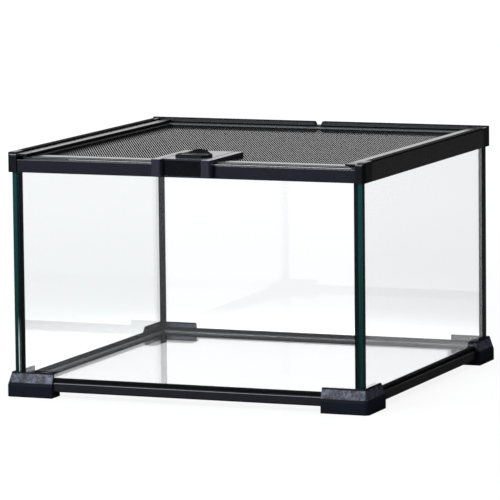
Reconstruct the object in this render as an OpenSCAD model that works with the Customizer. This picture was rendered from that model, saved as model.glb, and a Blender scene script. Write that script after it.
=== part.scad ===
// Reptile terrarium with a sliding screen lid.
// Frame: X to the right, Y to the back, Z up; origin on the table under the middle of the tank.

/* [Tank] */
// Width across the rails, left to right
tank_w = 305; // [240:5:420]
// Depth across the rails, front to back
tank_d = 305; // [240:5:420]
// Height from the table to the top of the side rails
tank_h = 198; // [150:2:400]

/* [Glass] */
// Thickness of the four wall panes
pane_t = 4; // [3:0.5:6]
// Thickness of the floor pane
floor_t = 4; // [3:0.5:6]
// Silicone bed between a pane and the channel that holds it
pane_gap = 0.3; // [0.1:0.1:0.5]
// Leg of the silicone fillet in each vertical corner
seal_leg = 4.2; // [3:0.1:8]
// Radius of the silicone bead round the floor pane
floor_seal_r = 1.6; // [1:0.1:3]

/* [Channel walls] */
// Outer wall of the rails
outer_wall = 2.6; // [2.2:0.1:4]
// Inner wall of the rails
inner_wall = 1.6; // [1.2:0.1:3]
// Gap at the joints between rails, corners and feet
joint_gap = 0.1; // [0.05:0.05:0.2]

/* [Base rails] */
// Height of the rails' underside above the table, the thickness of a foot's sole
base_z = 5; // [3:0.5:10]
// Height of a base rail's outer wall
base_h = 10.6; // [9:0.2:16]
// Height of the step in the outer wall above the underside
base_step_h = 7.9; // [6:0.1:8.2]
// Depth of the step above that height
base_step_in = 1.4; // [0.6:0.1:1.6]
// Thickness of the channel floor and of the flange under the floor pane
base_floor = 3; // [2:0.5:4]
// Reach of the flange from the rail's outer face
base_flange = 16; // [12:0.5:24]
// Extra height of the inner wall over the outer wall
base_inner_rise = 0; // [0:0.1:2]
// Radius of the lower outer edge
base_edge_r = 1.6; // [0.5:0.1:2.5]
// Radius of the outer edge at the step
base_shoulder_r = 1.2; // [0.4:0.1:1.4]

/* [Feet] */
// Reach of a foot beyond the rails' outer faces
foot_reach = 2.8; // [2:0.1:5]
// Length of each leg of a foot
foot_leg = 40; // [25:1:60]
// Width of a leg at the table
foot_sole = 16; // [10:0.5:24]
// Height of a foot
foot_h = 20; // [18:0.5:30]
// Height of the upright part of its outer faces
foot_upright = 9.2; // [6:0.2:10]
// How far the outer faces lean in above that
foot_lean = 3.6; // [2:0.1:4]
// Radius of the upright outer corner
foot_corner_r = 4; // [3.8:0.1:4.5]

/* [Top rails] */
// Height of the side rails
top_h = 16.4; // [13:0.2:24]
// Width of the raised bead along the outer edge
bead_w = 6.4; // [4:0.2:7.6]
// Height of the bead above the lip
bead_rise = 1.5; // [0.5:0.1:3]
// How much lower the bead's round top is at its edges than along its middle
bead_crown = 0.4; // [0.1:0.1:0.6]
// Radius of the bead's outer edge
bead_r = 1.3; // [0.5:0.1:2]
// Reach of the lip from the rail's outer face
lip_reach = 16.4; // [11:0.2:20]
// Thickness of the lip over the lid's edge
lip_t = 1.6; // [1:0.1:2.5]
// Width of a front corner block's face, and of the wall beside the lid
corner_face = 8; // [7.6:0.1:10]
// Length of a corner block along the side
corner_len = 17; // [12:0.5:30]
// Radius of the corner blocks' outer edges
corner_r = 3; // [1:0.5:4]
// Height of the channel that the lid slides in
channel_h = 2.7; // [2.4:0.1:3.5]
// Reach of the ledge under the lid from the rail's outer face
ledge_reach = 14.5; // [11:0.5:20]
// Thickness of the ledge and of the web over the panes
web_t = 2.5; // [2:0.1:4]
// Height of the back rail above the side rails
back_rise = 0.6; // [0:0.1:2]
// How far the front rail's face lies behind the corner blocks
front_recess = 1; // [0:0.1:1.4]
// How far the front rail's top lies under the ledges
front_drop = 0.1; // [0:0.1:1]
// Edge radius of the front rail
front_edge_r = 0.6; // [0.2:0.1:1]

/* [Cable notch] */
// Width of the notch in the back rail at its top
notch_top_w = 8.4; // [6:0.2:20]
// Width of the notch at its bottom
notch_low_w = 5; // [2:0.2:5.8]
// Depth of the notch
notch_depth = 3.2; // [1:0.1:3.4]

/* [Screen lid] */
// Thickness of the lid frame
lid_t = 1.8; // [1.6:0.1:2.1]
// Clearance beside and behind the lid
lid_gap = 0.3; // [0.2:0.1:0.6]
// Clearance under the lid
lid_lift = 0.2; // [0.1:0.05:0.3]
// Distance of the lid's front edge behind the tank's front face
lid_front_in = 7; // [6:0.5:8]
// Distance of the lid's back edge inside the tank's back face
lid_back_in = 5; // [4:0.5:6]
// Width of the front bar
bar_front = 12; // [11:0.5:20]
// Width of the side and back bars
bar_side = 15; // [10:0.5:24]
// Radius of the front bar's top edge
bar_edge_r = 1; // [0.3:0.1:1.2]
// Thickness of the mesh sheet
mesh_t = 0.5; // [0.3:0.1:0.6]
// Depth of the slot in the bars that grips the mesh
mesh_grip = 2.5; // [2:0.5:3.5]
// Clearance of the mesh in its slot
mesh_slack = 0.05; // [0.02:0.01:0.1]
// Pitch of the screen's openings across the lid, six times that of the real, finer screen
mesh_pitch = 12.6; // [8:0.2:24]
// Pitch from one row of openings to the next but one, also six times the real one
mesh_rows = 24.4; // [14:0.2:40]
// Length of the bond where two strands run side by side
mesh_bond = 5; // [3:0.2:6]
// Width of a strand between two openings
mesh_web = 2.4; // [1:0.2:4]

/* [Latch] */
// Width of the latch over its ears
latch_w = 50; // [40:1:70]
// Distance of the latch plate's back edge from the tank's front face
latch_back = 66; // [45:1:90]
// Width of an ear
ear_w = 7.8; // [5:0.2:10]
// Reach of the ears beyond the tank's front face
ear_reach = 6; // [3:0.2:8]
// Height of an ear
ear_h = 14; // [8:0.5:14.5]
// Radius of the ears' upright front edges
ear_r = 1.2; // [0.4:0.1:2]
// Clearance between the latch and the front rail
latch_gap = 0.3; // [0.2:0.1:0.6]
// Thickness of the apron behind the badge plate
apron_t = 0.6; // [0.5:0.1:1]
// Thickness of the badge plate
badge_t = 0.6; // [0.4:0.1:1]
// Height of the badge plate
badge_h = 12.6; // [8:0.2:13]
// Distance of the guide grooves from the plate's edges
groove_in = 7; // [4:0.5:7.6]
// Width of a guide groove
groove_w = 1; // [0.6:0.1:1.6]
// Depth of a guide groove
groove_d = 0.5; // [0.3:0.1:0.8]
// Thickness of the skirt that the plate stands on behind the front bar
skirt_t = 1.5; // [1:0.1:3]
// Distance of the screws from the tank's front face
screw_in = 13; // [12:0.5:14]
// Radius of a screw's shank
screw_r = 1; // [0.8:0.1:1.2]
// Radius of a screw's countersunk head
screw_head_r = 1.9; // [1.5:0.1:2]
// Clearance round a screw
screw_gap = 0.05; // [0.03:0.01:0.1]

/* [Lock] */
// Radius of the thumb button
button_r = 14.7; // [13:0.1:16]
// Width of the flat face cut across the button's front
button_flat_w = 20.8; // [16:0.2:22]
// Distance of that face from the tank's front face
button_in = 12.6; // [11:0.2:13.4]
// Height of the button above the plate at its flat face
button_low = 2.7; // [2:0.1:4]
// Height of the button above the plate at its back rim
button_high = 4.6; // [4:0.1:8]
// Width of the rim round the scoop
button_rim = 1.6; // [1:0.1:3]
// Depth of the scoop under the rim
scoop_depth = 1.1; // [0.5:0.1:1.4]
// Number of grip notches across the back rim
grip_count = 7; // [3:2:9]
// Pitch of the grip notches
grip_pitch = 1.7; // [1.2:0.1:2.2]
// Width of a grip notch
grip_w = 0.7; // [0.4:0.1:1]
// Depth of a grip notch
grip_d = 0.6; // [0.3:0.1:1]
// Travel of the lock
lock_travel = 1.8; // [1.2:0.1:1.8]
// Clearance round the button
button_gap = 0.3; // [0.2:0.1:0.5]
// How deep the button sits in its well when it is up
button_seat = 0.3; // [0.1:0.1:0.3]
// Distance of the bolt behind the button's flat face
bolt_in = 0.8; // [0.6:0.1:1.2]
// Width of the bolt under the button
bolt_w = 14; // [8:0.5:18]
// Thickness of the bolt
bolt_t = 2; // [1.6:0.1:3]
// Clearance between the bolt and what it passes
bolt_gap = 0.3; // [0.2:0.1:0.5]
// Depth to which the bolt is set into the button
bolt_set = 1.6; // [1:0.1:1.8]

/* [Hidden] */
$fn = 48;

// A little more than the surface that a cut starts from
cut = 1;
// Half sizes
half_w = tank_w / 2;
half_d = tank_d / 2;

// Panes: distances from the rails' outer faces
pane_out = outer_wall + pane_gap;
pane_in = pane_out + pane_t;
inner_wall_out = pane_in + pane_gap;
rail_in = inner_wall_out + inner_wall;

// Base: heights
base_top = base_z + base_h;
base_bed = base_z + base_floor;
base_inner_top = base_top + base_inner_rise;
floor_top = base_bed + floor_t;

// Top frame: heights
top_z = tank_h - top_h;
lip_top = tank_h - bead_rise;
lip_low = lip_top - lip_t;
ledge_z = lip_low - channel_h;
web_z = ledge_z - web_t;
pane_top = web_z - pane_gap;
front_top = ledge_z - front_drop;
back_top = tank_h + back_rise;
back_neck = lid_back_in - lid_gap;

// Lid: outline, heights and slot
lid_half_w = half_w - corner_face - lid_gap;
lid_front = -half_d + lid_front_in;
lid_back = half_d - lid_back_in;
lid_z = ledge_z + lid_lift;
lid_top = lid_z + lid_t;
mesh_z = lid_z + (lid_t - mesh_t) / 2;
mesh_top = mesh_z + mesh_t;
slot_h = mesh_t + 2 * mesh_slack;

// Latch and lock: X is measured from the middle, Y from the tank's front face
latch_t = lock_travel + button_seat + joint_gap;
plate_top = lid_top + latch_t;
ear_low = plate_top - ear_h;
apron_back = front_recess - 0.2;
apron_front = apron_back - apron_t;
badge_face = apron_front - badge_t;
badge_low = ear_low + (plate_top - ear_low - badge_h) / 2;
latch_low = front_top + latch_gap;
ear_in = latch_w / 2 - ear_w;
screw_x = latch_w / 2 - groove_in / 2 - groove_w / 2;
button_back_off = sqrt(button_r * button_r - button_flat_w * button_flat_w / 4);
button_y = button_in + button_back_off;
button_z = plate_top - button_seat;
button_tilt = atan((button_high - button_low) / (button_r + button_back_off));
bolt_y = button_in + bolt_in;

// ---- helpers ----

// What is left over outside a round edge of radius r at the origin, with the body in the first quadrant
module edge_cut(r) {
  difference() {
    translate([-cut, -cut]) square(r + cut);
    translate([r, r]) circle(r);
  }
}

// Carries a profile (distance in, height) along X between two distances, for the front face
module run_x(x0, x1) {
  translate([x0, -half_d, 0]) rotate([90, 0, 90]) linear_extrude(x1 - x0) children();
}

// Carries a profile (distance in, height) along Y, for the left face
module run_y(y0, y1) {
  translate([-half_w, y1, 0]) rotate([90, 0, 0]) linear_extrude(y1 - y0) children();
}

// A box given by its low and high corners
module box(lo, hi) {
  translate(lo) cube(hi - lo);
}

// Keeps what lies in front of both diagonals that start at the corners of a rectangle
module mitre_front(w, d, gap) {
  reach = min(w, d);
  intersection() {
    children();
    translate([0, -d / 2, -cut])
      linear_extrude(tank_h + 2 * cut)
        polygon([
          [-w / 2 - cut + gap, -cut], [w / 2 + cut - gap, -cut],
          [w / 2 - reach / 3 - gap, reach / 3], [-w / 2 + reach / 3 + gap, reach / 3]
        ]);
  }
}

// ---- glass and silicone ----

module floor_pane() {
  inset = rail_in + pane_gap;
  color([0.80, 0.90, 0.88, 0.5])
    box([-half_w + inset, -half_d + inset, base_bed], [half_w - inset, half_d - inset, floor_top]);
}

// Pane between the side panes; its place is the front, and the back is its mirror
module cross_pane() {
  end = half_w - pane_in - pane_gap;
  color([0.80, 0.90, 0.88, 0.5])
    box([-end, -half_d + pane_out, base_bed], [end, -half_d + pane_in, pane_top]);
}

// Side pane over the whole depth; its place is the left, and the right is its mirror
module side_pane() {
  color([0.75, 0.90, 0.86, 0.5])
    box([-half_w + pane_out, -half_d + pane_out, base_bed], [-half_w + pane_in, half_d - pane_out, pane_top]);
}

module front_pane() { cross_pane(); }
module back_pane() { mirror([0, 1, 0]) cross_pane(); }
module left_pane() { side_pane(); }
module right_pane() { mirror([1, 0, 0]) side_pane(); }

// Silicone fillet with a hollow face, between the inner walls of the base and of the top frame
module corner_seal() {
  hollow_r = seal_leg * 1.35;
  color([0.06, 0.06, 0.07])
    translate([-half_w + pane_in, -half_d + pane_in, base_inner_top])
      linear_extrude(top_z - base_inner_top)
        difference() {
          square(seal_leg);
          translate([hollow_r + seal_leg * 0.12, hollow_r + seal_leg * 0.12]) circle(hollow_r);
        }
}

module corner_seal_front_left() { corner_seal(); }
module corner_seal_front_right() { mirror([1, 0, 0]) corner_seal(); }
module corner_seal_back_left() { mirror([0, 1, 0]) corner_seal(); }
module corner_seal_back_right() { mirror([1, 0, 0]) mirror([0, 1, 0]) corner_seal(); }

// Quarter-round bead on the floor pane against the base rails' inner walls
module floor_seal_profile() {
  translate([rail_in, floor_top])
    intersection() {
      square(floor_seal_r);
      circle(floor_seal_r);
    }
}

// One run of the bead along the front of a w by d base, cut at 45 degrees at both ends
module floor_seal_run(w, d) {
  mitre_front(w, d, joint_gap / 2)
    translate([0, half_d - d / 2, 0]) run_x(-w / 2, w / 2) floor_seal_profile();
}

module floor_seal() {
  color([0.06, 0.06, 0.07])
    for (turn = [0, 180]) {
      rotate([0, 0, turn]) floor_seal_run(tank_w, tank_d);
      rotate([0, 0, turn + 90]) floor_seal_run(tank_d, tank_w);
    }
}

// ---- base rails ----

module base_profile() {
  difference() {
    union() {
      translate([0, base_z]) square([outer_wall, base_h]);
      translate([0, base_z]) square([base_flange, base_floor]);
      translate([inner_wall_out, base_z]) square([inner_wall, base_inner_top - base_z]);
    }
    translate([-cut, base_z + base_step_h]) square([base_step_in + cut, base_h]);
    translate([0, base_z]) edge_cut(base_edge_r);
    translate([0, base_z + base_step_h]) mirror([0, 1]) edge_cut(min(base_shoulder_r, base_step_in));
  }
}

// One base rail along the front of a w by d base, cut at 45 degrees at both ends
module base_rail(w, d) {
  color([0.10, 0.10, 0.12])
    mitre_front(w, d, joint_gap / 2) translate([0, half_d - d / 2, 0]) run_x(-w / 2, w / 2) base_profile();
}

module base_rail_front() { base_rail(tank_w, tank_d); }
module base_rail_back() { rotate([0, 0, 180]) base_rail(tank_w, tank_d); }
module base_rail_left() { rotate([0, 0, -90]) base_rail(tank_d, tank_w); }
module base_rail_right() { rotate([0, 0, 90]) base_rail(tank_d, tank_w); }

// ---- feet ----

// Section of a leg: sole under the rail, wall outside it, and a lean-to over its top up to the glass
module foot_profile() {
  polygon([
    [-foot_reach, 0], [-foot_reach, foot_upright], [foot_lean - foot_reach, foot_h],
    [outer_wall, foot_h], [outer_wall, base_top + joint_gap],
    [base_step_in - joint_gap, base_top + joint_gap], [base_step_in - joint_gap, base_z + base_step_h + joint_gap],
    [-joint_gap, base_z + base_step_h + joint_gap], [-joint_gap, base_z],
    [foot_sole - foot_reach, base_z], [foot_sole - foot_reach, 0]
  ]);
}

// Foot under the front left corner; the other three are its mirrors
module foot() {
  arc = foot_corner_r - foot_reach;
  leg_end = foot_leg - foot_reach;
  color([0.09, 0.09, 0.12])
    difference() {
      union() {
        run_x(-half_w + arc, -half_w + leg_end) foot_profile();
        run_y(-half_d + arc, -half_d + leg_end) foot_profile();
        translate([-half_w + arc, -half_d + arc, 0])
          rotate([0, 0, 180])
            rotate_extrude(angle = 90)
              polygon([
                [0, 0], [foot_corner_r, 0], [foot_corner_r, foot_upright],
                [foot_corner_r - foot_lean, foot_h], [0, foot_h]
              ]);
      }
      translate([-half_w, -half_d, 0]) {
        box([-joint_gap, -joint_gap, base_z], [foot_leg, foot_leg, base_z + base_step_h + joint_gap]);
        box([base_step_in - joint_gap, base_step_in - joint_gap, base_z],
            [foot_leg, foot_leg, base_top + joint_gap]);
        box([outer_wall, outer_wall, base_z], [foot_leg, foot_leg, foot_h + cut]);
      }
    }
}

module foot_front_left() { foot(); }
module foot_front_right() { mirror([1, 0, 0]) foot(); }
module foot_back_left() { mirror([0, 1, 0]) foot(); }
module foot_back_right() { mirror([1, 0, 0]) mirror([0, 1, 0]) foot(); }

// ---- top rails ----

// The bead along the outer edge, from a height up to its crowned top, with round edges
module bead_profile(low, top) {
  crown_r = (bead_w * bead_w / 4 + bead_crown * bead_crown) / (2 * bead_crown);
  difference() {
    union() {
      translate([0, low]) square([bead_w, top - bead_crown - low]);
      intersection() {
        translate([0, top - 2 * bead_crown]) square([bead_w, 2 * bead_crown]);
        translate([bead_w / 2, top - crown_r]) circle(crown_r, $fn = 180);
      }
    }
    translate([0, top]) mirror([0, 1]) edge_cut(bead_r);
    translate([bead_w, top]) rotate(180) edge_cut(bead_r / 2);
  }
}

// Side rail: wall and bead outside, lip over the lid's edge, ledge under it, slot for the pane below
module side_profile() {
  lip_r = lip_t / 4;
  difference() {
    union() {
      translate([0, top_z]) square([outer_wall, web_z - top_z]);
      bead_profile(web_z, tank_h);
      translate([bead_w / 2, web_z]) square([corner_face - bead_w / 2, lip_top - web_z]);
      translate([0, web_z]) square([ledge_reach, web_t]);
      translate([bead_w / 2, lip_low]) square([lip_reach - bead_w / 2, lip_t]);
      translate([inner_wall_out, top_z]) square([inner_wall, ledge_z - top_z]);
    }
    translate([lip_reach, lip_top]) rotate(180) edge_cut(lip_r);
  }
}

// Front rail: low, so that the lid passes over it
module front_profile() {
  difference() {
    union() {
      translate([front_recess, top_z]) square([outer_wall - front_recess, front_top - top_z]);
      translate([front_recess, web_z]) square([rail_in - front_recess, front_top - web_z]);
      translate([inner_wall_out, top_z]) square([inner_wall, front_top - top_z]);
    }
    translate([front_recess, front_top]) mirror([0, 1]) edge_cut(front_edge_r);
    translate([rail_in, front_top]) rotate(180) edge_cut(front_edge_r);
  }
}

// Back rail: the lid's back edge goes under its bead
module back_profile() {
  translate([0, top_z]) square([outer_wall, lip_low - top_z]);
  bead_profile(lip_low, back_top);
  translate([0, web_z]) square([back_neck, lip_low - web_z]);
  translate([0, web_z]) square([ledge_reach, web_t]);
  translate([inner_wall_out, top_z]) square([inner_wall, ledge_z - top_z]);
}

module top_rail_front() {
  end = half_w - corner_face - joint_gap;
  color([0.10, 0.10, 0.14]) run_x(-end, end) front_profile();
}

module side_rail() {
  end = half_d - corner_len - joint_gap;
  color([0.13, 0.12, 0.12]) run_y(-end, end) side_profile();
}

module top_rail_left() { side_rail(); }
module top_rail_right() { mirror([1, 0, 0]) side_rail(); }

module top_rail_back() {
  end = half_w - corner_len - joint_gap;
  color([0.10, 0.10, 0.12])
    difference() {
      mirror([0, 1, 0]) run_x(-end, end) back_profile();
      translate([0, half_d + cut, back_top])
        rotate([90, 0, 0])
          linear_extrude(bead_w + 2 * cut)
            polygon([
              [-notch_low_w / 2, -notch_depth], [notch_low_w / 2, -notch_depth],
              [notch_top_w / 2, 0], [notch_top_w / 2, cut], [-notch_top_w / 2, cut], [-notch_top_w / 2, 0]
            ]);
    }
}

// Upright outer edge of a block at the front left corner
module corner_edge_cut(top) {
  translate([-half_w, -half_d, top_z - cut]) linear_extrude(top - top_z + 2 * cut) edge_cut(corner_r);
}

// Front left block: the side rail's section, closed in front and rounded at its outer edges
module front_corner() {
  color([0.09, 0.09, 0.11])
    difference() {
      union() {
        run_y(-half_d, -half_d + corner_len) side_profile();
        translate([-half_w, -half_d, top_z]) cube([corner_face, outer_wall, ledge_z - top_z]);
      }
      corner_edge_cut(tank_h);
      run_x(-half_w - cut, -half_w + lip_reach + cut)
        translate([0, tank_h]) mirror([0, 1]) edge_cut(corner_r);
      translate([-half_w, -half_d, 0]) {
        box([corner_face, -cut, top_z - cut], [lip_reach + cut, rail_in + joint_gap, lip_low]);
        box([corner_face, -cut, lip_low - cut], [lip_reach + cut, front_recess, tank_h]);
        box([pane_out - pane_gap, outer_wall, top_z - cut], [lip_reach, inner_wall_out, web_z]);
      }
    }
}

// Back left block: the side rail's section turns into the back rail's
module back_corner() {
  color([0.10, 0.10, 0.12])
    mirror([0, 1, 0])
      difference() {
        union() {
          run_y(-half_d, -half_d + corner_len) side_profile();
          run_x(-half_w, -half_w + corner_len) back_profile();
        }
        corner_edge_cut(back_top);
        translate([-half_w, -half_d, 0]) {
          box([pane_out - pane_gap, outer_wall, top_z - cut], [corner_len + cut, inner_wall_out, web_z]);
          box([outer_wall, pane_out - pane_gap, top_z - cut], [inner_wall_out, corner_len + cut, web_z]);
        }
      }
}

module top_corner_front_left() { front_corner(); }
module top_corner_front_right() { mirror([1, 0, 0]) front_corner(); }
module top_corner_back_left() { back_corner(); }
module top_corner_back_right() { mirror([1, 0, 0]) back_corner(); }

// ---- screen lid ----

// Section of a lid bar, from the lid's outer edge inwards, with the slot for the mesh
module bar_profile(w) {
  translate([0, lid_z])
    difference() {
      square([w, lid_t]);
      translate([w - mesh_grip, (lid_t - slot_h) / 2]) square([mesh_grip + cut, slot_h]);
      translate([w, lid_t]) rotate(180) edge_cut(lid_t / 6);
    }
}

// Keeps one side of the lid between the 45-degree cuts of its frame; shape is [low corner, high corner]
module lid_side(outline) {
  intersection() {
    children();
    translate([0, 0, lid_z - cut]) linear_extrude(lid_t + 2 * cut) polygon(outline);
  }
}

lid_fl = [-lid_half_w, lid_front];
lid_bl = [-lid_half_w, lid_back];
win_fl = [-lid_half_w + bar_side, lid_front + bar_front];
win_bl = [-lid_half_w + bar_side, lid_back - bar_side];
bar_gap = [joint_gap / 2, 0];

module lid_bar_front() {
  color([0.12, 0.12, 0.14])
    difference() {
      lid_side([
        lid_fl + bar_gap, win_fl + bar_gap,
        [-win_fl[0] - bar_gap[0], win_fl[1]], [-lid_fl[0] - bar_gap[0], lid_fl[1]]
      ])
        translate([0, lid_front_in, 0])
          run_x(-lid_half_w, lid_half_w)
            difference() {
              bar_profile(bar_front);
              translate([0, lid_top]) mirror([0, 1]) edge_cut(bar_edge_r);
            }
      latch_cuts();
    }
}

module lid_bar_back() {
  color([0.12, 0.12, 0.14])
    lid_side([
      lid_bl + bar_gap, win_bl + bar_gap,
      [-win_bl[0] - bar_gap[0], win_bl[1]], [-lid_bl[0] - bar_gap[0], lid_bl[1]]
    ])
      mirror([0, 1, 0]) translate([0, lid_back_in, 0]) run_x(-lid_half_w, lid_half_w) bar_profile(bar_side);
}

module lid_bar_side() {
  color([0.12, 0.12, 0.14])
    lid_side([lid_fl - bar_gap, win_fl - bar_gap, win_bl - bar_gap, lid_bl - bar_gap])
      translate([corner_face + lid_gap, 0, 0]) run_y(lid_front, lid_back) bar_profile(bar_side);
}

module lid_bar_left() { lid_bar_side(); }
module lid_bar_right() { mirror([1, 0, 0]) lid_bar_side(); }

// Opening of expanded metal, a long hexagon: the middle lines of the strands round it, drawn in by half a strand
module mesh_opening() {
  bond = mesh_bond / 2;
  point = mesh_rows / 2 - bond;
  slope = (point - bond) / (mesh_pitch / 2);
  side = (mesh_pitch - mesh_web) / 2;
  tip = point - mesh_web / 2 * sqrt(1 + slope * slope);
  shoulder = tip - side * slope;
  polygon([[0, tip], [-side, shoulder], [-side, -shoulder], [0, -tip], [side, -shoulder], [side, shoulder]]);
}

// Sheet of expanded metal in the bars' slots, opened over the window in staggered rows
module lid_mesh() {
  edge = mesh_grip - joint_gap;
  win = [lid_half_w - bar_side, (win_bl[1] - win_fl[1]) / 2];
  middle = (win_bl[1] + win_fl[1]) / 2;
  nx = floor((2 * win[0] - mesh_web) / mesh_pitch - 0.5);
  ny = floor((2 * win[1] - mesh_web - mesh_rows + mesh_bond) / (mesh_rows / 2)) + 1;
  color([0.35, 0.35, 0.36])
    translate([0, middle, mesh_z])
      linear_extrude(mesh_t)
        difference() {
          square([2 * (win[0] + edge), 2 * (win[1] + edge)], center = true);
          for (j = [0 : ny - 1], i = [0 : nx - 1])
            translate([(i - (nx - 1) / 2 + (j % 2 - 0.5) / 2) * mesh_pitch, (j - (ny - 1) / 2) * mesh_rows / 2])
              mesh_opening();
        }
}

// ---- latch ----

// Slot for the bolt and bores for the screws through the lid's front bar
module latch_cuts() {
  side = bolt_gap;
  translate([0, -half_d, lid_z - cut]) {
    translate([-bolt_w / 2 - side, bolt_y - side, 0])
      cube([bolt_w + 2 * side, bolt_t + 2 * side, lid_t + 2 * cut]);
    for (s = [-1, 1])
      translate([s * screw_x, screw_in, 0]) {
        cylinder(r = screw_r + screw_gap, h = lid_t + 2 * cut);
        cylinder(r = screw_head_r + screw_gap, h = cut + lid_t / 2);
      }
  }
}

// Plan of the thumb button, grown by a margin: a disc cut flat in front
module button_plan(margin) {
  difference() {
    translate([0, button_y]) circle(button_r + margin, $fn = 96);
    translate([-button_r - margin, button_in - margin - 2 * button_r])
      square([2 * (button_r + margin), 2 * button_r]);
  }
}

module ear_plan() {
  difference() {
    square([ear_w, ear_reach + apron_back]);
    edge_cut(ear_r);
    translate([ear_w, 0]) mirror([1, 0]) edge_cut(ear_r);
  }
}

// Plate on the lid, block over the front rail, apron and ears in front of it
module latch_base() {
  color([0.10, 0.10, 0.13])
    translate([0, -half_d, 0])
      difference() {
        union() {
          box([-latch_w / 2, apron_front, lid_top], [latch_w / 2, latch_back, plate_top]);
          box([-latch_w / 2, apron_front, latch_low], [latch_w / 2, lid_front_in - lid_gap, plate_top]);
          box([-latch_w / 2, apron_front, ear_low], [latch_w / 2, apron_back, plate_top]);
          for (s = [-1, 1])
            translate([s * (latch_w / 2 - ear_w / 2) - ear_w / 2, -ear_reach, ear_low])
              linear_extrude(plate_top - ear_low) ear_plan();
          latch_skirt();
        }
        translate([0, 0, lid_top - cut]) linear_extrude(latch_t + 2 * cut) button_plan(button_gap);
        for (s = [-1, 1]) {
          translate([s * (latch_w / 2 - groove_in) - groove_w / 2, front_recess, plate_top - groove_d])
            cube([groove_w, latch_back, groove_d + cut]);
          translate([s * screw_x, screw_in, lid_top - cut])
            cylinder(r = screw_r + screw_gap, h = cut + latch_t * 0.7);
        }
      }
}

// Skirt round the plate's underside behind the lid's front bar, just clear of the mesh
module latch_skirt() {
  y0 = lid_front_in + bar_front + lid_gap;
  low = mesh_top + joint_gap;
  for (s = [-1, 1])
    translate([s * (latch_w / 2 - skirt_t / 2) - skirt_t / 2, y0, low])
      cube([skirt_t, latch_back - y0, lid_top - low]);
  box([-latch_w / 2, latch_back - skirt_t, low], [latch_w / 2, latch_back, lid_top]);
}

module badge_plate() {
  w = 2 * (ear_in - joint_gap);
  color([0.03, 0.03, 0.04])
    translate([0, -half_d, 0])
      box([-w / 2, badge_face, badge_low], [w / 2, apron_front, badge_low + badge_h]);
}

module latch_screws() {
  color([0.55, 0.55, 0.57])
    translate([0, -half_d, lid_z])
      for (s = [-1, 1])
        translate([s * screw_x, screw_in, 0]) {
          cylinder(r = screw_head_r, h = lid_t / 2);
          cylinder(r = screw_r, h = lid_t + latch_t * 0.6);
        }
}

// ---- lock ----

// Button: cut by a plane that rises to the back, then scooped between its rims
module thumb_button() {
  scoop_run = button_r + button_back_off - 2 * button_rim;
  scoop_r = (scoop_run * scoop_run / 4 + scoop_depth * scoop_depth) / (2 * scoop_depth);
  color([0.08, 0.08, 0.10])
    translate([0, -half_d, 0])
      difference() {
        translate([0, 0, button_z]) linear_extrude(button_high + button_seat + cut) button_plan(0);
        // the rising top
        translate([0, button_in, plate_top + button_low])
          rotate([button_tilt, 0, 0])
            translate([-button_r - cut, -cut, 0]) cube([2 * (button_r + cut), 3 * button_r, 2 * button_high]);
        // the scoop, hollow from front to back
        intersection() {
          translate([0, button_in, plate_top + button_low])
            rotate([button_tilt, 0, 0])
              translate([0, button_rim + scoop_run / 2, scoop_r - scoop_depth])
                rotate([0, 90, 0]) cylinder(r = scoop_r, h = 4 * button_r, center = true, $fn = 180);
          translate([0, 0, button_z]) linear_extrude(2 * button_high) button_plan(-button_rim);
        }
        // the grip notches across the back rim
        translate([0, button_in, plate_top + button_low])
          rotate([button_tilt, 0, 0])
            for (k = [0 : grip_count - 1])
              translate([(k - (grip_count - 1) / 2) * grip_pitch - grip_w / 2, button_rim + scoop_run, -grip_d])
                cube([grip_w, 2 * button_rim, 2 * button_high]);
        // the seat of the bolt
        translate([-bolt_w / 2 - joint_gap, bolt_y - joint_gap, button_z - cut])
          cube([bolt_w + 2 * joint_gap, bolt_t + 2 * joint_gap, bolt_set + cut]);
      }
}

// Flat bolt: its lower edge lies level with the lid's underside while the lock is open
module lock_bolt() {
  color([0.30, 0.30, 0.33])
    translate([-bolt_w / 2, -half_d + bolt_y, lid_z]) cube([bolt_w, bolt_t, button_z + bolt_set - lid_z]);
}

floor_pane();
front_pane();
back_pane();
left_pane();
right_pane();
corner_seal_front_left();
corner_seal_front_right();
corner_seal_back_left();
corner_seal_back_right();
floor_seal();
base_rail_front();
base_rail_back();
base_rail_left();
base_rail_right();
foot_front_left();
foot_front_right();
foot_back_left();
foot_back_right();
top_rail_front();
top_rail_back();
top_rail_left();
top_rail_right();
top_corner_front_left();
top_corner_front_right();
top_corner_back_left();
top_corner_back_right();
lid_bar_front();
lid_bar_back();
lid_bar_left();
lid_bar_right();
lid_mesh();
latch_base();
badge_plate();
latch_screws();
thumb_button();
lock_bolt();
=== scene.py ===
"""A reptile terrarium: glass panes in black moulded rails, a sliding screen lid and its thumb latch."""
import math

import bpy
import numpy as np
from mathutils import Matrix, Vector


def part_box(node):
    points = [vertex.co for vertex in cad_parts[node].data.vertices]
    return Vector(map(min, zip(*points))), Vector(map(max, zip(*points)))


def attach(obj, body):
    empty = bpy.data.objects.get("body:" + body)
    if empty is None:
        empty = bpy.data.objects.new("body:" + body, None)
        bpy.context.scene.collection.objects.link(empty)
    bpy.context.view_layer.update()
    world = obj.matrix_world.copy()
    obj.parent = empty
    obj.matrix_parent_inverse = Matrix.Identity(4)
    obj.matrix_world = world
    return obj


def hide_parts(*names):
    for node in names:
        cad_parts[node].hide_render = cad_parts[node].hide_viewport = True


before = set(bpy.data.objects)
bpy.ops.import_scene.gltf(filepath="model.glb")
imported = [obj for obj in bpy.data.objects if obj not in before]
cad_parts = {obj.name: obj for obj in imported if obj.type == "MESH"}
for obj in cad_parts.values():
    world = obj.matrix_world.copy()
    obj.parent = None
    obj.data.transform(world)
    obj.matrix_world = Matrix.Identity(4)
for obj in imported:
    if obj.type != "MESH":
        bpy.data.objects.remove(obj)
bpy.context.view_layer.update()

MM = 0.001
X, Y, Z = 0, 1, 2


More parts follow.
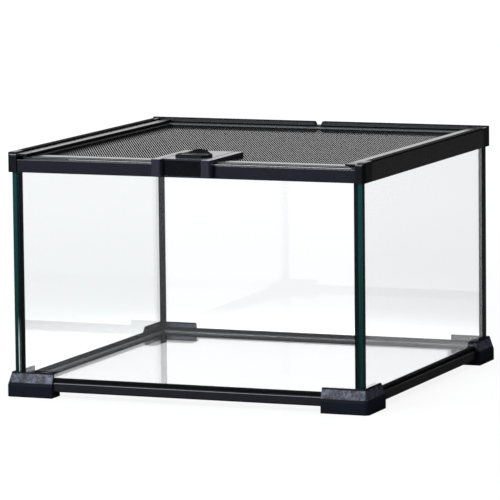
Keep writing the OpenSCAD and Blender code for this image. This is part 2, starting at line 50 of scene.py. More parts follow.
def extent(node):
    """The lowest and the highest corner of a CAD node, as arrays."""
    low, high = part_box(node)
    return np.array(low), np.array(high)


def lowest(node, axis):
    """The lowest coordinate of a CAD node along an axis."""
    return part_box(node)[0][axis]


def highest(node, axis):
    """The highest coordinate of a CAD node along an axis."""
    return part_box(node)[1][axis]


# heights that bound the bands of painted shade, a darker matt copy of the plastic: above the beads of the
# side rails, the back rail and the back corner blocks, below the back rail's foot, above the base rails'
# step and above the crest of the thumb button
SIDE_BEAD = highest("top_rail_left", Z) - 1.45 * MM
BACK_BEAD = highest("top_rail_back", Z) - 0.7 * MM
BACK_FOOT = highest("top_rail_left", Z) - 2.7 * MM
BASE_STEP = lowest("base_rail_front", Z) + 7.95 * MM
CREST = lowest("thumb_button", Z) + 1.7 * MM
# a height over the whole object
ABOVE_ALL = 1.0
# heights between which the feet are grained, with pale blue-grey flecks that are partly painted sheen
GRAIN_LOW, GRAIN_HIGH = 11.7 * MM, 19.0 * MM
# points of a mesh that lie closer together than this are one point
SAME_PLACE = 0.002 * MM


# ---- camera and lamps ----

# where the camera stands, in metres, how it is turned, and its focal length and sensor, in millimetres:
# worked out from the tank's corners in the photograph
CAMERA_PLACE = (1.2983, -3.2528, 0.54818)
CAMERA_AZIMUTH = math.radians(21.832)
CAMERA_DOWN = math.radians(7.197)
CAMERA_ROLL = math.radians(-0.602)
CAMERA_LENS = 308.93
SENSOR = 36.0
LAMP_SIZE = 1.3
LAMP_TARGET = (0, 0, 0.1)


def add_camera():
    """The camera stands where the photograph was taken and looks a little down on the tank."""
    data = bpy.data.cameras.new("camera")
    data.sensor_width = SENSOR
    data.sensor_fit = "HORIZONTAL"
    data.lens = CAMERA_LENS
    data.clip_end = 100
    camera = bpy.data.objects.new("camera", data)
    bpy.context.scene.collection.objects.link(camera)
    turn = (Matrix.Rotation(CAMERA_AZIMUTH, 4, "Z")
            @ Matrix.Rotation(math.pi / 2 - CAMERA_DOWN, 4, "X")
            @ Matrix.Rotation(CAMERA_ROLL, 4, "Z"))
    camera.matrix_world = Matrix.Translation(CAMERA_PLACE) @ turn
    bpy.context.scene.camera = camera


def add_lamp(name, place, power, colour=(1, 1, 1)):
    """A square area lamp that points at the tank."""
    data = bpy.data.lights.new(name, "AREA")
    data.shape = "SQUARE"
    data.size = LAMP_SIZE
    data.energy = power
    data.color = colour
    lamp = bpy.data.objects.new(name, data)
    bpy.context.scene.collection.objects.link(lamp)
    aim = Vector(LAMP_TARGET) - Vector(place)
    lamp.matrix_world = Matrix.Translation(place) @ aim.to_track_quat("-Z", "Y").to_matrix().to_4x4()


# ---- materials ----

class Shader:
    """The nodes of a material or of the world: short calls that add nodes and link them."""

    def __init__(self, owner, output):
        """Clears the owner's nodes and adds its output."""
        owner.use_nodes = True
        self.owner = owner
        self.tree = owner.node_tree
        self.tree.nodes.clear()
        self.output = self.tree.nodes.new("ShaderNode" + output)

    def node(self, kind, values=None, **settings):
        """Adds a node; values set or link its inputs by name or index, settings its properties."""
        made = self.tree.nodes.new("ShaderNode" + kind)
        for key, value in settings.items():
            setattr(made, key, value)
        for key, value in (values or {}).items():
            if isinstance(value, bpy.types.NodeSocket):
                self.tree.links.new(value, made.inputs[key])
            else:
                made.inputs[key].default_value = value
        return made

    def place(self, scale=(1, 1, 1)):
        """Object coordinates, scaled along each axis."""
        where = self.node("TexCoord").outputs["Object"]
        return self.node("Mapping", {"Vector": where, "Scale": scale}).outputs["Vector"]

    def along(self, axis):
        """Object coordinate along an axis."""
        return self.node("SeparateXYZ", {0: self.node("TexCoord").outputs["Object"]}).outputs[axis]

    def inside(self, axis, low, high):
        """1 where the coordinate along an axis lies between two values, otherwise 0."""
        where = self.along(axis)
        return self.maths("MULTIPLY", self.maths("GREATER_THAN", where, low),
                          self.maths("LESS_THAN", where, high))

    def noise(self, size, detail=3.0, roughness=0.5, stretch=(1, 1, 1)):
        """Noise of about a size in metres, from 0 to 1, drawn out along an axis whose stretch is below 1."""
        return self.node("TexNoise", {"Vector": self.place(stretch), "Scale": 1 / size, "Detail": detail,
                                      "Roughness": roughness}).outputs["Fac"]

    def between(self, factor, low, high, start=0.0, end=1.0, ease="LINEAR"):
        """Maps a factor from start..end onto low..high, and keeps it there outside start and end."""
        return self.node("MapRange", {"Value": factor, "From Min": start, "From Max": end, "To Min": low,
                                      "To Max": high}, interpolation_type=ease).outputs["Result"]

    def maths(self, operation, first, second=0.0):
        """One step of arithmetic."""
        return self.node("Math", {0: first, 1: second}, operation=operation).outputs[0]

    def choose(self, factor, first, second):
        """The first number where the factor is 0, the second where it is 1."""
        return self.node("Mix", {0: factor, 2: first, 3: second}).outputs[0]

    def blend(self, factor, first, second):
        """The first colour where the factor is 0, the second where it is 1."""
        colours = {6: opaque(first), 7: opaque(second)}
        return self.node("Mix", {0: factor, **colours}, data_type="RGBA").outputs[2]

    def cloudy(self, cloud, colour, times):
        """A dark colour that is lighter in the clouds, by a factor and a trace."""
        return self.blend(cloud, colour, tuple(times * part + 0.001 for part in colour))

    def bump(self, height, distance):
        """A bump whose full height is a distance in metres."""
        return self.node("Bump", {"Height": height, "Distance": distance, "Strength": 1.0}).outputs["Normal"]

    def principled(self, values):
        """The Principled shader with some of its inputs set."""
        return self.node("BsdfPrincipled", values).outputs[0]

    def cover(self, factor, first, second):
        """The first shader where the factor is 0, the second where it is 1."""
        return self.node("MixShader", {0: factor, 1: first, 2: second}).outputs[0]

    def finish(self, shader):
        """Links the shader to the output."""
        self.tree.links.new(shader, self.output.inputs["Surface"])
        return self.owner


def opaque(colour):
    """A colour with its alpha. A socket stays as it is."""
    return colour if isinstance(colour, bpy.types.NodeSocket) else (*colour, 1)


def new_material(name):
    """The shader of a new material."""
    return Shader(bpy.data.materials.new(name), "OutputMaterial")


def moulded_plastic(name, colour, roughness, painted_shade_bands=(), waviness=0.0012 * MM, glints=0.5):
    """Black moulded plastic: cloudy colour, slow sink marks and faint scuffs in a smooth gloss. Bands
    between two heights, where there are any, carry painted shade: a darker, matt copy of the plastic."""
    make = new_material(name)
    cloud = make.noise(22 * MM, detail=4)
    scuffs = make.noise(5 * MM, detail=5, roughness=0.65)
    sinks = make.noise(4 * MM, detail=2)
    smooth = make.principled({
        "Base Color": make.cloudy(cloud, colour, 1.6), "Specular IOR Level": glints,
        "Roughness": make.between(scuffs, roughness - 0.01, roughness + 0.02),
        "Normal": make.bump(sinks, waviness),
    })
    if not painted_shade_bands:
        return make.finish(smooth)
    # painted shade: a darker black, matt copy of the plastic, for the bands
    matt = make.principled({
        "Base Color": make.blend(cloud, (0.001, 0.001, 0.0015), (0.003, 0.003, 0.003)),
        "Roughness": make.between(scuffs, 0.6, 0.8), "Specular IOR Level": 0.08,
    })
    painted_shade_mask = 0.0
    for low, high in painted_shade_bands:
        painted_shade_mask = make.maths("ADD", make.inside(Z, low, high), painted_shade_mask)
    return make.finish(make.cover(painted_shade_mask, smooth, matt))


def foot_plastic():
    """The feet: dark plastic, with a coarse moulded grain on the slopes that glints; the pale blue-grey
    colour of its flecks is partly painted sheen.
    """
    make = new_material("foot_plastic")
    cloud = make.noise(9 * MM, roughness=0.6)
    grain = make.noise(1.6 * MM, roughness=0.75)
    pits = make.noise(1.2 * MM, detail=2, roughness=0.7)
    clustered = make.maths("ADD", make.maths("MULTIPLY", grain, 0.7), make.maths("MULTIPLY", cloud, 0.6))
    grain_and_sheen_flecks = make.between(clustered, 0.0, 1.0, start=0.56, end=0.80)
    smooth = make.principled({
        "Base Color": make.blend(cloud, (0.005, 0.0055, 0.009), (0.010, 0.011, 0.018)),
        "Roughness": make.between(cloud, 0.45, 0.55), "Specular IOR Level": 0.03,
    })
    # the grain: the feet's own texture, with flecks coloured pale blue-grey, partly a painted sheen
    rough = make.principled({
        "Base Color": make.blend(grain_and_sheen_flecks, (0.004, 0.0045, 0.009), (0.055, 0.060, 0.10)),
        "Roughness": make.between(grain_and_sheen_flecks, 0.55, 0.3), "Specular IOR Level": 0.4,
        "Normal": make.bump(pits, 0.2 * MM),
    })
    height = make.along(Z)
    over = make.between(height, 0.0, 1.0, GRAIN_LOW - 0.3 * MM, GRAIN_LOW + 0.2 * MM)
    under = make.between(height, 1.0, 0.0, GRAIN_HIGH - 0.5 * MM, GRAIN_HIGH + 0.1 * MM)
    return make.finish(make.cover(make.maths("MULTIPLY", over, under), smooth, rough))


def silicone_rubber(name, colour, roughness, glints):
    """Sealant with slow waves from the tooling."""
    make = new_material(name)
    waves = make.noise(6 * MM, detail=2, stretch=(1, 1, 0.35))
    return make.finish(make.principled({
        "Base Color": make.cloudy(waves, colour, 1.5), "Specular IOR Level": glints,
        "Roughness": make.between(make.noise(4 * MM), roughness, roughness + 0.15),
        "Normal": make.bump(waves, 0.08 * MM),
    }))


def clear_glass(name, colour):
    """Float glass with slow waves. Lamps and soft light pass it, so that it casts next to no shadow."""
    make = new_material(name)
    waves = make.bump(make.noise(160 * MM, detail=1, roughness=0.3), 0.06 * MM)
    glass = make.node("BsdfGlass", {"Color": opaque(colour), "Roughness": 0.0, "IOR": 1.5, "Normal": waves})
    clear = make.node("BsdfTransparent", {"Color": (0.98, 0.99, 0.99, 1)})
    path = make.node("LightPath").outputs
    passed = make.maths("MAXIMUM", path["Is Shadow Ray"], path["Is Diffuse Ray"])
    return make.finish(make.cover(passed, glass.outputs[0], clear.outputs[0]))


def ground_edge():
    """The ground edges of the panes: deep teal, in upright streaks, darker towards the bottom. The left end
    of the front pane, seen through the pane, carries a painted highlight: pale low down, where it would
    catch the light."""
    make = new_material("glass_edge")
    height = make.along(Z)
    lift = make.between(height, 0.0, 1.0, 40 * MM, 190 * MM)
    teal = make.blend(lift, (0.0004, 0.007, 0.007), (0.004, 0.042, 0.038))
    streaks = make.between(make.noise(1.6 * MM, detail=2, stretch=(1, 1, 0.012)), -0.2, 0.8)
    streaked = make.blend(streaks, teal, (0.012, 0.055, 0.05))
    # painted highlight: a pale colour on the left end of the front pane, low down
    end = lowest("front_pane", X)
    at_end = make.inside(X, end - 1 * MM, end + 0.1 * MM)
    in_front = make.maths("LESS_THAN", make.along(Y), -100 * MM)
    low_down = make.between(height, 1.0, 0.0, 45 * MM, 65 * MM)
    painted_highlight = make.maths("MULTIPLY", make.maths("MULTIPLY", at_end, in_front), low_down)
    return make.finish(make.principled({
        "Base Color": make.blend(painted_highlight, streaked, (0.55, 0.62, 0.60)), "Specular IOR Level": 0.15,
        "Roughness": make.between(make.noise(0.6 * MM, detail=2), 0.12, 0.3),
    }))


def screen_paint():
    """Black paint on the expanded metal's upper side: glossy, with painted shade along the left and back
    borders, where it is matt, darker and without gloss.
    """
    make = new_material("screen_paint")
    patch = make.noise(3 * MM)
    gloss = make.principled({
        "Base Color": make.blend(patch, (0.004, 0.004, 0.004), (0.010, 0.010, 0.010)),
        "Roughness": make.between(patch, 0.06, 0.13), "Coat Weight": 0.6, "Coat Roughness": 0.05,
    })
    # painted shade: matt, darker and without gloss along the left and back borders
    painted_shade_border = make.principled({"Base Color": (0.002, 0.002, 0.002, 1), "Roughness": 0.8,
                            "Specular IOR Level": 0.0})
    left, back = lowest("lid_mesh", X), highest("lid_mesh", Y)
    shaded_left = make.between(make.along(X), 1.0, 0.0, left + 8 * MM, left + 23 * MM)
    shaded_back = make.between(make.along(Y), 0.0, 0.85, back - 40 * MM, back - 6 * MM)
    return make.finish(make.cover(make.maths("MAXIMUM", shaded_left, shaded_back), gloss, painted_shade_border))


def screen_painted_shade():
    """Painted shade: a darker, matt copy of the screen's black paint, on the expanded metal's cut walls, its
    underside and the strands that run to the back on the right.
    """
    make = new_material("screen_painted_shade")
    patch = make.noise(3 * MM)
    return make.finish(make.principled({
        "Base Color": make.blend(patch, (0.002, 0.002, 0.002), (0.006, 0.006, 0.006)),
        "Roughness": make.between(patch, 0.6, 0.8), "Specular IOR Level": 0.02,
    }))


def gloss_plate():
    """The bare badge plate: polished black, with a faint haze of handling."""
    make = new_material("badge_gloss")
    haze = make.noise(4 * MM, detail=4, roughness=0.6)
    return make.finish(make.principled({
        "Base Color": make.blend(haze, (0.002, 0.002, 0.003), (0.006, 0.006, 0.008)),
        "Roughness": make.between(haze, 0.05, 0.2), "Specular IOR Level": 0.25,
    }))


def screw_steel():
    """Zinc-plated steel."""
    make = new_material("screw_steel")
    patch = make.noise(1.5 * MM)
    return make.finish(make.principled({
        "Base Color": make.blend(patch, (0.38, 0.38, 0.4), (0.55, 0.55, 0.57)), "Metallic": 1.0,
        "Roughness": make.between(patch, 0.25, 0.45),
    }))


# ---- surfaces ----

def new_piece(name, body, points, groups, materials, smooth=False):
    """A piece from points (n, 3) and groups of faces: each group is (an array with a face per row, the index
    of its material)."""
    corners = np.concatenate([rows.ravel() for rows, _ in groups]).astype(np.int32)
    sizes = np.concatenate([np.full(len(rows), rows.shape[1]) for rows, _ in groups])
    starts = (np.cumsum(sizes) - sizes).astype(np.int32)
    finishes = np.concatenate([np.full(len(rows), index) for rows, index in groups]).astype(np.int32)
    mesh = bpy.data.meshes.new(name)
    mesh.vertices.add(len(points))
    mesh.vertices.foreach_set("co", np.ascontiguousarray(points, np.float32).ravel())
    mesh.loops.add(len(corners))
    mesh.loops.foreach_set("vertex_index", corners)
    mesh.polygons.add(len(sizes))
    mesh.polygons.foreach_set("loop_start", starts)
    mesh.polygons.foreach_set("material_index", finishes)
    mesh.polygons.foreach_set("use_smooth", np.full(len(sizes), smooth))
    for material in materials:
        mesh.materials.append(material)
    mesh.update(calc_edges=True)
    mesh.validate()
    piece = bpy.data.objects.new(name, mesh)
    bpy.context.scene.collection.objects.link(piece)
    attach(piece, body)
    return piece


def enclosed(points, faces):
    """Six times the volume inside faces, positive where they face outwards: the sum of the triple products
    of the triangles that each face is cut into from its first corner."""
    total = 0.0
    for k in range(1, faces.shape[1] - 1):
        a, b, c = points[faces[:, 0]], points[faces[:, k]], points[faces[:, k + 1]]
        total += np.einsum("ij,ij->i", a, np.cross(b, c)).sum()
    return total


def loft(rings):
    """Faces that join n closed rings of m points: (points, bands of quads, the two end caps).
    Quad (i, j) joins points j and j+1 of ring i to those of ring i+1; they are turned to face outwards."""
    n, m = rings.shape[:2]
    points = rings.reshape(-1, 3)
    i, j = np.meshgrid(np.arange(n - 1), np.arange(m), indexing="ij")
    following = (j + 1) % m
    bands = np.stack([i * m + j, i * m + following, (i + 1) * m + following, (i + 1) * m + j], -1)
    bands = bands.reshape(-1, 4)
    caps = np.stack([np.arange(m)[::-1], (n - 1) * m + np.arange(m)])
    if enclosed(points, bands) + enclosed(points, caps) < 0:
        bands, caps = bands[:, ::-1], caps[:, ::-1]
    return points, bands, caps


def rectangle(half_x, half_y):
    """Four corners of a rectangle round the origin, counterclockwise."""
    return np.array([[-half_x, -half_y], [half_x, -half_y], [half_x, half_y], [-half_x, half_y]])


def rounded_rectangle(half_x, half_y, radius, steps=5):
    """The outline of a rectangle round the origin, counterclockwise, each corner a quarter circle of a few
    points: the corner of the rectangle drawn in by the radius, plus the radius in the point's direction."""
    angle = math.pi / 2 * (2 + np.arange(4)[:, None] + np.linspace(0, 1, steps))
    centres = rectangle(half_x - radius, half_y - radius)
    return (centres[:, None] + radius * directions(angle)).reshape(-1, 2)


def directions(angle):
    """Unit vectors at angles from the X axis."""
    return np.stack([np.cos(angle), np.sin(angle)], -1)


def ramp(value, start, end):
    """0 before the start, 1 past the end, and a straight slope between them."""
    return np.clip((value - start) / (end - start), 0, 1)


def crease(piece, degrees):
    """Keeps edges sharper than an angle crisp in a smooth piece."""
    piece.data.set_sharp_from_angle(angle=math.radians(degrees))


# ---- panes and seals ----

def glass_pane(node, thin_axis, glass, edge, arris=0.5 * MM):
    """A pane with its arrises ground off: its outline is inset at both faces and full between them."""
    low, high = extent(node)
    wide, tall = (axis for axis in (X, Y, Z) if axis != thin_axis)
    middle, half = (low + high) / 2, (high - low) / 2
    face, shoulder = half[thin_axis], half[thin_axis] - arris
    levels = ((-face, arris), (-shoulder, 0), (shoulder, 0), (face, arris))
    rings = np.zeros((len(levels), 4, 3))
    for ring, (depth, inset) in zip(rings, levels):
        ring[:, (wide, tall)] = rectangle(half[wide] - inset, half[tall] - inset)
        ring[:, thin_axis] = depth
    points, bands, caps = loft(rings + middle)
    piece = new_piece(node + "_glass", "tank", points, [(caps, 0), (bands, 1)], [glass, edge])
    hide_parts(node)


def corner_seal(node, rubber, wobble=0.15 * MM, rows=46, joint=0.3 * MM, joint_depth=3.6 * MM):
    """Sealant in an upright corner: a right angle on the panes, with a thin web in the joint between the
    side pane and the end of the other pane, and a face that is a mix of a hollow quarter circle and a
    straight slope, about half each. The share wanders with height in a slow and a quick wave."""
    low, high = extent(node)
    leg = high[X] - low[X]
    inner = np.array([-1, -1]) * np.sign((low + high)[:2])
    root = np.where(inner > 0, low[:2], high[:2])
    height = np.linspace(low[Z], high[Z], rows)
    slow_wave = np.sin(height / (9 * MM))
    quick_wave = np.sin(height / (3.7 * MM) + low[X] * 50)
    bulge = (0.5 + wobble / leg * (slow_wave + 0.6 * quick_wave))[:, None, None]
    angle = np.linspace(0, math.pi / 2, 9)
    hollow = np.stack([1 - np.sin(angle), 1 - np.cos(angle)], -1)
    straight = directions(angle) ** 2
    face = hollow * (1 - bulge) + straight * bulge
    web = np.array([[0, -joint_depth], [joint, -joint_depth], [joint, 0]])
    rings = np.zeros((rows, len(web) + len(angle), 3))
    rings[:, :len(web), :2] = root + inner * web
    rings[:, len(web):, :2] = root + inner * leg * face
    rings[:, :, Z] = height[:, None]
    points, bands, caps = loft(rings)
    piece = new_piece(node + "_bead", "tank", points, [(bands, 0), (caps, 0)], [rubber], True)
    crease(piece, 40)
    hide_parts(node)


# ---- rails, corners, feet and other pieces that keep the CAD's shape ----

def dress(node, material, edge=0.0, segments=3, sharp=12):
    """Gives a CAD node its finish, joins its loose triangles, and rounds its edges that are sharper than an
    angle in degrees."""
    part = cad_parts[node]
    part.data.materials.clear()
    part.data.materials.append(material)
    weld = part.modifiers.new("weld", "WELD")
    weld.merge_threshold = SAME_PLACE
    if edge:
        bevel = part.modifiers.new("edges", "BEVEL")
        bevel.width = edge
        bevel.segments = segments
        bevel.limit_method = "ANGLE"
        bevel.angle_limit = math.radians(sharp)
    part.modifiers.new("normals", "WEIGHTED_NORMAL")


# ---- screen ----

def hexagon(half_x, half_y, shoulder):
    """Six corners of a hexagon round the origin, counterclockwise from its back tip, with sides along Y."""
    return np.array([[0, half_y], [-half_x, shoulder], [-half_x, -shoulder],
                     [0, -half_y], [half_x, -shoulder], [half_x, shoulder]])


def cell_quads():
    """The 18 quads of a cell: a ring above, a ring below and the walls of the opening. The corners are
    those of the outer hexagon above and below, then of the inner one above and below. Quad k of a ring
    joins corners k and k+1 of two hexagons."""
    outer_above, outer_below, inner_above, inner_below = 0, 6, 12, 18
    k = np.arange(6)
    following = (k + 1) % 6

    def ring(first, second):
        return np.stack([first + k, first + following, second + following, second + k], -1)

    turned_down = [1, 0, 3, 2]
    return np.concatenate([ring(outer_above, inner_above), ring(outer_below, inner_below)[:, turned_down],
                           ring(inner_above, inner_below)])


def expanded_metal(paint, shade, pitch_x=2.1 * MM, pitch_y=4.06 * MM, strand=0.48 * MM, bond=0.42 * MM,
                   strips=4):
    """The screen of expanded metal. Its openings are long hexagons in staggered rows. A cell lies between
    an outer hexagon, shared with the neighbours along the middle of the strands, and an inner one, which is
    the outer one drawn in by half a strand. Above, the bonds and the strands that run to the back on the
    left carry the glossy paint. The strands that run to the back on the right carry painted shade, a darker
    matt copy of the paint that stands in for their tilt away from the light."""
    low, high = extent("lid_mesh")
    middle, half_z = (low + high) / 2, (high[Z] - low[Z]) / 2
    rise = pitch_y / 2 - bond
    slope = (rise - bond) / (pitch_x / 2)
    tip = rise - strand / 2 * math.hypot(1, slope)
    side = pitch_x / 2 - strand / 2
    outer, inner = hexagon(pitch_x / 2, rise, bond), hexagon(side, tip, tip - side * slope)
    shape = np.column_stack([np.concatenate([outer, outer, inner, inner]),
                             np.repeat([half_z, -half_z, half_z, -half_z], 6)])
    cell = cell_quads()
    # quads above that keep the glossy paint; the other quads carry painted shade
    bright_sides = (1, 2, 4, 5)
    columns = int((high[X] - low[X]) / pitch_x)
    rows = int((high[Y] - low[Y]) / pitch_y * 2) - 1
    column, row = np.meshgrid(np.arange(columns), np.arange(rows), indexing="ij")
    stagger = 0.25 - 0.5 * (row % 2)
    x = (column - (columns - 1) / 2 + stagger) * pitch_x + middle[X]
    y = (row - (rows - 1) / 2) * pitch_y / 2 + middle[Y]
    for strip, chosen in enumerate(np.array_split(np.arange(columns), strips)):
        across, along = x[chosen].ravel(), y[chosen].ravel()
        centres = np.stack([across, along, np.full(len(across), middle[Z])], -1)
        points = (centres[:, None] + shape).reshape(-1, 3)
        quads = (np.arange(len(centres))[:, None, None] * len(shape) + cell).reshape(-1, 4)
        points, quads = merged(points, quads)
        rim = side_walls(points, quads)
        bright = np.isin(np.arange(len(quads)) % len(cell), bright_sides)
        piece = new_piece(f"screen_{strip + 1}", "lid", points,
                          [(quads[bright], 0), (quads[~bright], 1), (rim, 1)], [paint, shade])
        if strip == 0:
            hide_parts("lid_mesh")


def merged(points, faces):
    """Joins points that share a place on a fine grid."""
    keys = np.round(points / SAME_PLACE).astype(np.int64)
    _, first, where = np.unique(keys, axis=0, return_index=True, return_inverse=True)
    return points[first], where.reshape(-1)[faces]


def side_walls(points, faces, grid=0.01 * MM):
    """Quads that close the open rim of a level sheet. An edge of one face only is open, and each open edge
    above is joined to the points below it, found by their place on a grid, which is one number."""
    edges = np.concatenate([np.stack([faces[:, k], faces[:, (k + 1) % 4]], -1) for k in range(4)])
    _, where, counts = np.unique(np.sort(edges, axis=1), axis=0, return_inverse=True, return_counts=True)
    rim = edges[counts[where.reshape(-1)] == 1]
    is_above = points[rim[:, 0], Z] > points[:, Z].mean()
    across, back = np.round(points[:, :2] / grid).astype(np.int64).T
    place = across * 2 * (np.abs(back).max() + 1) + back
    below = np.unique(rim[~is_above])
    below = below[np.argsort(place[below])]
    above = rim[is_above]
    start, end = below[np.searchsorted(place[below], place[above])].T
    return np.column_stack([above[:, 1], above[:, 0], start, end])


# ---- latch ----

def badge_plate(gloss, bevel=0.35 * MM, corner=0.8 * MM):
    """A bare plate with round corners: its outline is drawn in by the bevel at the front, in two steps."""
    low, high = extent("badge_plate")
    middle, half = (low + high) / 2, (high - low) / 2
    soft = 0.3 * bevel
    rings = []
    for depth, inset in ((high[Y], 0), (low[Y] + bevel, 0), (low[Y] + soft, soft), (low[Y], bevel)):
        across, up = rounded_rectangle(half[X] - inset, half[Z] - inset, corner).T
        rings.append(np.stack([across, np.full(len(across), depth), up + middle[Z]], -1))
    points, bands, caps = loft(np.array(rings))
    piece = new_piece("badge_plate_bare", "lid", points, [(bands, 0), (caps, 0)], [gloss],
                      True)
    piece.modifiers.new("normals", "WEIGHTED_NORMAL")
    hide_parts("badge_plate")


def thumb_button(plastic, shaded_wall_plastic, notch=0.55 * MM, pitch=1.7 * MM, ridges=3.2, shoulder=0.9 * MM):
    """The thumb button: a disc cut flat in front. Its height follows a scoop from the flat face to a high
    back rim, with shoulders at the sides and notches a pitch apart across the rim. Rings: the foot, three
    for the round edge, and the others drawn in to the middle. A point of a ring lies at the ring's share of
    the way from the middle to the outline."""
    low, high = extent("thumb_button")
    radius = (high[X] - low[X]) / 2
    centre = np.array([0.0, high[Y] - radius])
    to_flat = centre[Y] - low[Y]
    angle = np.linspace(0, 2 * math.pi, 360, endpoint=False)
    reach = np.minimum(radius, to_flat / np.maximum(-np.sin(angle), 1e-6))

    share = np.concatenate([[1, 1, 0.994, 0.982, 0.965, 0.94, 0.91], np.linspace(0.88, 0.02, 22)])[:, None]
    # how far the round edge lies below the top
    drop = np.zeros_like(share)
    drop[1:4, 0] = 0.35 * MM, 0.15 * MM, 0.03 * MM
    plan = centre + (share * reach)[:, :, None] * directions(angle)
    x, y = plan[:, :, X], plan[:, :, Y]
    back = np.clip((y - low[Y]) / (to_flat + radius), 0, 1)

    # the scoop: its height over the seat at shares of the way from the flat face to the back
    seat = low[Z] + 0.3 * MM
    full = high[Z] - seat
    way = (0, 0.2, 0.41, 0.58, 0.7, 0.83, 0.92, 0.98, 1)
    rise = (1.9 * MM, 1.7 * MM, 1.3 * MM, 0.95 * MM, 0.9 * MM, 1.5 * MM, 3.0 * MM, full, full)
    beside = ramp(share, 0.68, 0.88) * ramp(back, 0.3, 0.6) * ramp(back, 0.9, 0.7)
    on_rim = ramp(back, 0.9, 0.94) * (np.abs(x) < ridges * pitch)
    notched = np.cos(2 * math.pi * x / pitch) < -0.1
    height = seat + np.interp(back, way, rise) + shoulder * beside - notch * on_rim * notched - drop
    height[0] = low[Z]

    points, bands, caps = loft(np.concatenate([plan, height[:, :, None]], -1))
    wall, top = bands[:len(angle)], bands[len(angle):]
    piece = new_piece("thumb_button_scooped", "lock", points,
                      [(wall, 1), (top, 0), (caps, 0)], [plastic, shaded_wall_plastic], True)
    crease(piece, 50)
    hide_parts("thumb_button")


# ---- floor and surroundings ----

def white_floor(half=12.0):
    """A pale floor. Seen by the camera or through glass it glows up to white and keeps the object's
    shadow. The glow grows away from the object, which paints a faint shadow round it; through glass it is
    also raised under the tank, painted light that lifts the tank's shade there. Gloss sees the floor dim, as
    the black plastics of a cut-out product picture do."""
    make = new_material("white_floor")
    path = make.node("LightPath").outputs
    seen = make.maths("MAXIMUM", path["Is Camera Ray"], path["Is Transmission Ray"])
    away = make.node("VectorMath", {0: make.place()}, operation="LENGTH").outputs["Value"]
    glow_with_painted_shadow = make.between(away, 0.88, 0.99, 0.5, 1.6, "SMOOTHSTEP")
    painted_light_under_tank = make.between(away, 1.4, 0.94, 0.2, 0.45, "SMOOTHSTEP")
    far_off = make.between(away, 1.0, 1.07, 0.6, 1.3)
    glow = make.choose(path["Is Transmission Ray"], glow_with_painted_shadow, make.maths("MULTIPLY", painted_light_under_tank, far_off))
    light = make.node("Emission", {"Strength": make.maths("MULTIPLY", seen, glow)})
    mirrored = make.maths("MULTIPLY", path["Is Glossy Ray"], make.maths("SUBTRACT", 1.0, seen))
    grey = make.maths("MULTIPLY", make.between(seen, 0.75, 0.12), make.between(mirrored, 1.0, 0.1))
    matt = make.node("BsdfDiffuse", {"Color": grey})
    both = make.node("AddShader", {0: matt.outputs[0], 1: light.outputs[0]})
    mesh = bpy.data.meshes.new("floor")
    mesh.from_pydata([(x, y, 0) for x, y in rectangle(half, half)], [], [(0, 1, 2, 3)])
    mesh.materials.append(make.finish(both.outputs[0]))
    floor = bpy.data.objects.new("floor", mesh)
    bpy.context.scene.collection.objects.link(floor)


def studio_world(soft=0.5, backdrop=1.25, dark=0.08):
    """White for the camera and through glass. Gloss sees a white backdrop low behind the tank, on the left
    of the middle, and a dark room elsewhere; soft light is even."""
    world = bpy.data.worlds.new("world")
    bpy.context.scene.world = world
    make = Shader(world, "OutputWorld")
    way = make.node("SeparateXYZ", {0: make.node("TexCoord").outputs["Generated"]}).outputs
    on_left = make.between(way[X], dark, backdrop, 0.12, -0.12, "SMOOTHSTEP")
    low_down = make.between(way[Z], 0.35, 1.0, 0.8, 0.45, "SMOOTHSTEP")
    behind = make.between(way[Y], 0.25, 1.0, -0.3, 0.2, "SMOOTHSTEP")
    room = make.maths("MULTIPLY", make.maths("MULTIPLY", on_left, low_down), behind)
    path = make.node("LightPath").outputs
    seen = make.maths("MAXIMUM", path["Is Camera Ray"], path["Is Transmission Ray"])
    strength = make.choose(seen, make.choose(path["Is Glossy Ray"], soft, room), 1.0)
    make.finish(make.node("Background", {"Strength": strength}).outputs[0])


# ---- the whole ----

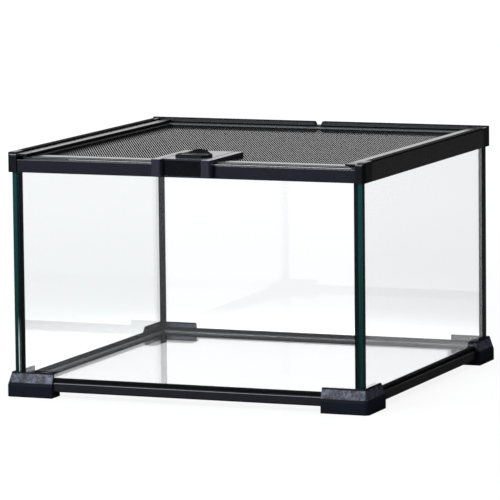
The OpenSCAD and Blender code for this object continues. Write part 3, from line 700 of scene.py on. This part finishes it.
def make_tank():
    """The glass box: panes and seals, base rails and feet, top rails and corner blocks."""
    glass = clear_glass("pane_glass", (0.990, 0.993, 0.995))
    # the left pane's glass is a darker copy of the glass: painted shade on that pane
    shaded_left_glass = clear_glass("left_pane_glass", (0.940, 0.946, 0.948))
    edge = ground_edge()
    for node, thin_axis in (("floor_pane", Z), ("front_pane", Y), ("back_pane", Y), ("left_pane", X),
                            ("right_pane", X)):
        glass_pane(node, thin_axis, shaded_left_glass if node == "left_pane" else glass, edge)

    silicone = silicone_rubber("silicone", (0.002, 0.0022, 0.003), 0.35, glints=0.05)
    wet = silicone_rubber("floor_silicone", (0.035, 0.038, 0.042), 0.12, glints=0.5)
    foot = foot_plastic()
    block_black, block_gloss = (0.0015, 0.0015, 0.003), 0.24
    block = moulded_plastic("corner_block", block_black, block_gloss, glints=0.35)
    back_block = moulded_plastic("back_corner_block", block_black, block_gloss, [(BACK_BEAD, ABOVE_ALL)],
                                 glints=0.35)
    for side, corner in (("front_left", block), ("front_right", block), ("back_left", back_block),
                         ("back_right", back_block)):
        corner_seal("corner_seal_" + side, silicone)
        dress("foot_" + side, foot, 0.5 * MM)
        dress("top_corner_" + side, corner, 0.35 * MM)
    dress("floor_seal", wet)

    # painted light in the rails' colours: the front rails bluish, as in cool light from the front, the side
    # top rails warm and lighter, the side base rails darker
    top_front = moulded_plastic("rail_front", (0.004, 0.0038, 0.009), 0.22, waviness=0)
    top_side = moulded_plastic("rail_side", (0.014, 0.013, 0.0128), 0.16, [(SIDE_BEAD, ABOVE_ALL)])
    top_back = moulded_plastic("rail_back", (0.005, 0.005, 0.006), 0.3,
                               [(BACK_BEAD, ABOVE_ALL), (0, BACK_FOOT)])
    base_front = moulded_plastic("base_front", (0.008, 0.0076, 0.0105), 0.22, [(BASE_STEP, ABOVE_ALL)])
    base_side = moulded_plastic("base_side", (0.002, 0.002, 0.002), 0.25, [(BASE_STEP, ABOVE_ALL)],
                                glints=0.4)
    for side, base, top in (("front", base_front, top_front), ("back", base_front, top_back),
                            ("left", base_side, top_side), ("right", base_side, top_side)):
        dress("base_rail_" + side, base, 0.35 * MM)
        dress("top_rail_" + side, top, 0.35 * MM)


def make_lid():
    """The sliding lid: four bars round the screen, and the latch base with its screws and badge plate."""
    front = moulded_plastic("lid_plastic", (0.004, 0.004, 0.005), 0.12, waviness=0)
    back = moulded_plastic("lid_back_plastic", (0.006, 0.006, 0.007), 0.46, glints=1.0)
    # the side bars carry painted shade: a darker, matt copy of the lid's plastic
    side = moulded_plastic("lid_side_painted_shade", (0.001, 0.001, 0.0015), 0.6, waviness=0, glints=0.04)
    for name, bar in (("front", front), ("back", back), ("left", side), ("right", side)):
        dress("lid_bar_" + name, bar, 0.2 * MM)
    expanded_metal(screen_paint(), screen_painted_shade())
    # a lighter, bluish black: partly painted light, the cool light from the front
    latch = moulded_plastic("latch_plastic", (0.016, 0.016, 0.025), 0.16, waviness=0.0004 * MM)
    dress("latch_base", latch, 0.25 * MM)
    badge_plate(gloss_plate())
    dress("latch_screws", screw_steel())


def make_lock():
    """The thumb button and the bolt under it."""
    # painted shade: the crest band is a darker matt copy of the button's plastic, and the wall a matt copy
    # that keeps it dark
    top = moulded_plastic("button_plastic", (0.003, 0.003, 0.004), 0.3, [(CREST, ABOVE_ALL)], glints=0.4)
    wall = moulded_plastic("button_wall_painted_shade", (0.004, 0.004, 0.006), 0.6, glints=0.12)
    thumb_button(top, wall)
    dress("lock_bolt", moulded_plastic("bolt_plastic", (0.05, 0.05, 0.055), 0.4), 0.2 * MM)


add_camera()
make_tank()
make_lid()
make_lock()
white_floor()
studio_world()
add_lamp("top_lamp", (0.1, -0.2, 1.8), 16)
add_lamp("front_lamp", (-0.98, -2.0, 1.08), 50, (0.86, 0.92, 1.0))
bpy.context.scene.view_settings.view_transform = "Standard"
